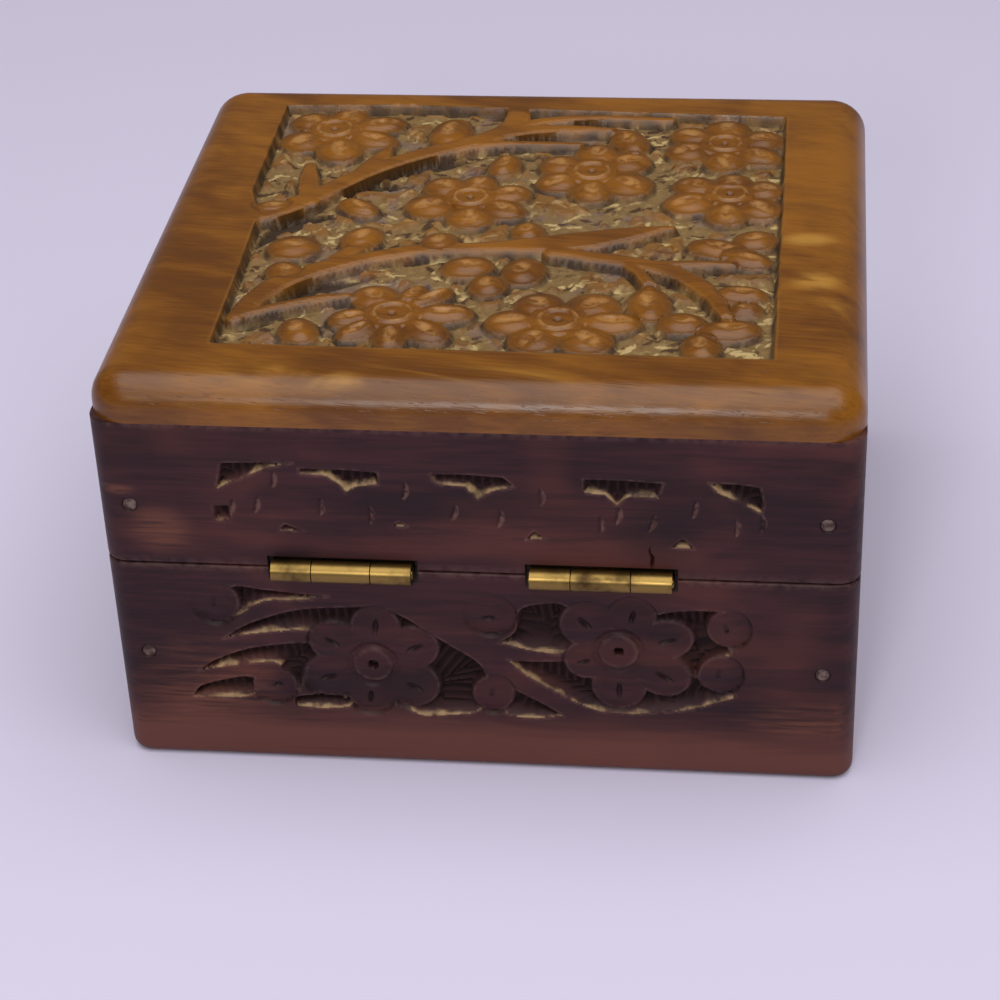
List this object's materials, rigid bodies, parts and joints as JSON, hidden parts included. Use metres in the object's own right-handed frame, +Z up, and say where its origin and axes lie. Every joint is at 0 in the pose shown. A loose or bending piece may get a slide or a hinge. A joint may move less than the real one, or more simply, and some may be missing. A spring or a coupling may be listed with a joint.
{
  "type": "keepsake box",
  "caption": "Carved hardwood keepsake box with flowers and stems in relief, a hollow lid on small brass butt hinges, and nailed corners.",
  "frame": {"origin": "middle of the underside", "axes": "+Z up, +Y towards the hinges at the rear, +X to the right as seen from the front"},
  "size_m": [0.1, 0.0942, 0.06],
  "materials": {
    "top_wood": "varnished golden brown, worn",
    "wall_wood": "dark red-brown stain and varnish, worn",
    "bottom_wood": "bare, planed",
    "brass": "tarnished",
    "steel": "dull, darkened"
  },
  "bodies": {
    "base": {"base_rear_wall": "wall_wood", "base_front_wall": "wall_wood", "base_left_wall": "wall_wood", "base_right_wall": "wall_wood", "bottom_board": "bottom_wood", "base_corner_nails": "steel", "bottom_board_brads": "steel", "left_hinge_base_leaf": "brass", "right_hinge_base_leaf": "brass", "left_hinge_base_screws": "brass", "right_hinge_base_screws": "brass"},
    "lid": {"lid_top_board": "top_wood", "lid_rear_wall": "wall_wood", "lid_front_wall": "wall_wood", "lid_left_wall": "wall_wood", "lid_right_wall": "wall_wood", "lid_corner_nails": "steel", "left_hinge_lid_leaf": "brass", "right_hinge_lid_leaf": "brass", "left_hinge_lid_screws": "brass", "right_hinge_lid_screws": "brass", "left_hinge_pin": "brass", "right_hinge_pin": "brass"}
  },
  "joints": [
    {"name": "lid_hinge", "type": "hinge", "parent": "base", "child": "lid", "pos_m": [0, 0.0467, 0.0323], "axis": [-1, 0, 0], "range_deg": [0, 180]}
  ]
}
